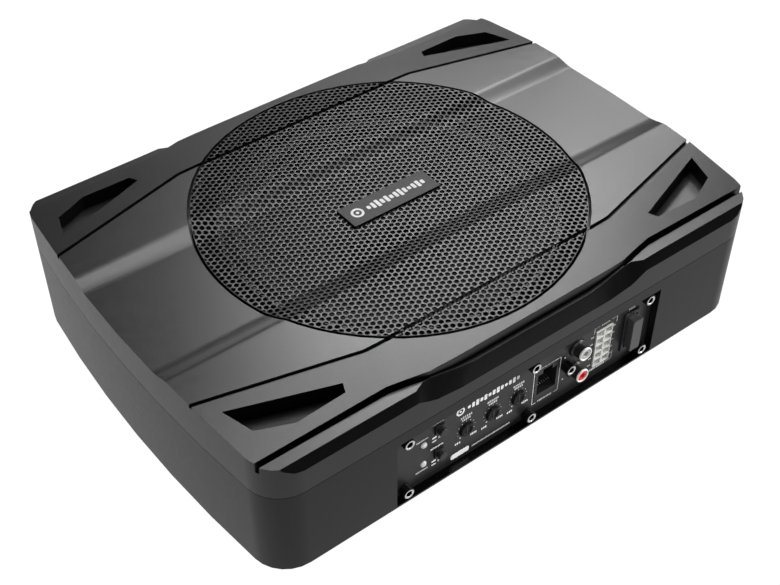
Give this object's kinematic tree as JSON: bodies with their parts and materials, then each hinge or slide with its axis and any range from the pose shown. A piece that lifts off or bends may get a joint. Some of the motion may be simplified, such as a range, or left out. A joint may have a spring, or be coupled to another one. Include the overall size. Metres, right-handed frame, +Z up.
{
  "type": "powered car subwoofer",
  "caption": "Flat under-seat powered subwoofer: cast case, round perforated grille over a slim driver, and a recessed panel of dials, push buttons, sockets and a fuse.",
  "frame": {"origin": "middle of the flat underside of the lower case", "axes": "+X along the control panel's long side, -Y out of the control panel, +Z up through the grille"},
  "size_m": [0.345, 0.2526, 0.0813],
  "materials": {
    "cast_cover": "fine-textured dark grey powder coat on a cast cover",
    "case_paint": "fine-textured black-grey powder coat",
    "grille_paint": "satin dark grey coat on perforated steel",
    "badge_plate": "satin dark grey plate with a plain white mark",
    "black_steel": "black coat",
    "rubber": "matt black rubber",
    "cone_paper": "matt black pressed paper",
    "copper": "enamelled copper winding",
    "spider_cloth": "impregnated cloth",
    "bright_steel": "zinc-plated steel",
    "screw_head": "black sides and a bright ring round the hex socket",
    "ferrite": "sintered ferrite",
    "black_plastic": "moulded black plastic",
    "circuit_board": "green solder mask",
    "aluminium": "extruded aluminium",
    "red_plastic": "glossy red plastic",
    "panel_paint": "fine matt black coat with white printed marks",
    "light_lens": "milky white lens",
    "white_plastic": "moulded white nylon",
    "fuse_plastic": "smoky grey plastic"
  },
  "bodies": {
    "enclosure": {"top_cover": "cast_cover", "lower_case": "case_paint", "grille": "grille_paint", "grille_badge": "badge_plate", "basket": "black_steel", "case_screw_1": "black_steel", "case_screw_2": "black_steel", "case_screw_3": "black_steel", "case_screw_4": "black_steel", "case_screw_5": "black_steel", "case_screw_6": "black_steel", "gasket": "rubber", "surround": "rubber", "power_inductor": "copper", "spider": "spider_cloth", "top_plate": "bright_steel", "back_plate": "bright_steel", "rca_sleeve_left": "bright_steel", "rca_sleeve_right": "bright_steel", "phase_switch": "bright_steel", "auto_on_switch": "bright_steel", "panel_screw_1": "screw_head", "panel_screw_2": "screw_head", "panel_screw_3": "screw_head", "panel_screw_4": "screw_head", "panel_screw_5": "screw_head", "panel_screw_6": "screw_head", "panel_screw_7": "screw_head", "magnet": "ferrite", "terminal_strip": "black_plastic", "filter_capacitor_1": "black_plastic", "filter_capacitor_2": "black_plastic", "speaker_lead_negative": "black_plastic", "low_pass_control": "black_plastic", "bass_boost_control": "black_plastic", "gain_control": "black_plastic", "rca_block": "black_plastic", "remote_jack": "black_plastic", "fuse_holder": "black_plastic", "amplifier_board": "circuit_board", "heat_sink": "aluminium", "board_rail_front": "aluminium", "board_rail_back": "aluminium", "speaker_lead_positive": "red_plastic", "rca_insert_right": "red_plastic", "control_panel": "panel_paint", "power_light": "light_lens", "protect_light": "light_lens", "rca_insert_left": "white_plastic", "power_connector": "white_plastic"},
    "cone_assembly": {"cone": "cone_paper", "dust_cap": "cone_paper", "voice_coil": "copper"},
    "low_pass_dial": {"low_pass_knob": "black_plastic"},
    "bass_boost_dial": {"bass_boost_knob": "black_plastic"},
    "gain_dial": {"gain_knob": "black_plastic"},
    "phase_key": {"phase_button": "black_plastic"},
    "auto_on_key": {"auto_on_button": "black_plastic"},
    "fuse": {"blade_fuse": "fuse_plastic"}
  },
  "joints": [
    {"name": "cone_travel", "type": "slide", "parent": "enclosure", "child": "cone_assembly", "axis": [0, 0, 1], "range_m": [-0.005, 0.005], "stiffness_N_per_m": 2500, "deforming": ["surround", "spider"]},
    {"name": "low_pass_turn", "type": "hinge", "parent": "enclosure", "child": "low_pass_dial", "pos_m": [-0.0423, -0.1204, 0.0234], "axis": [0, -1, 0], "range_deg": [-140, 140]},
    {"name": "bass_boost_turn", "type": "hinge", "parent": "enclosure", "child": "bass_boost_dial", "pos_m": [-0.0242, -0.1204, 0.0234], "axis": [0, -1, 0], "range_deg": [-140, 140]},
    {"name": "gain_turn", "type": "hinge", "parent": "enclosure", "child": "gain_dial", "pos_m": [-0.0062, -0.1204, 0.0234], "axis": [0, -1, 0], "range_deg": [-140, 140]},
    {"name": "phase_push", "type": "slide", "parent": "enclosure", "child": "phase_key", "axis": [0, 1, 0], "range_m": [0, 0.0025], "stiffness_N_per_m": 400},
    {"name": "auto_on_push", "type": "slide", "parent": "enclosure", "child": "auto_on_key", "axis": [0, 1, 0], "range_m": [0, 0.0025], "stiffness_N_per_m": 400},
    {"name": "fuse_pull", "type": "slide", "parent": "enclosure", "child": "fuse", "axis": [0, -1, 0], "range_m": [0, 0.012]}
  ]
}
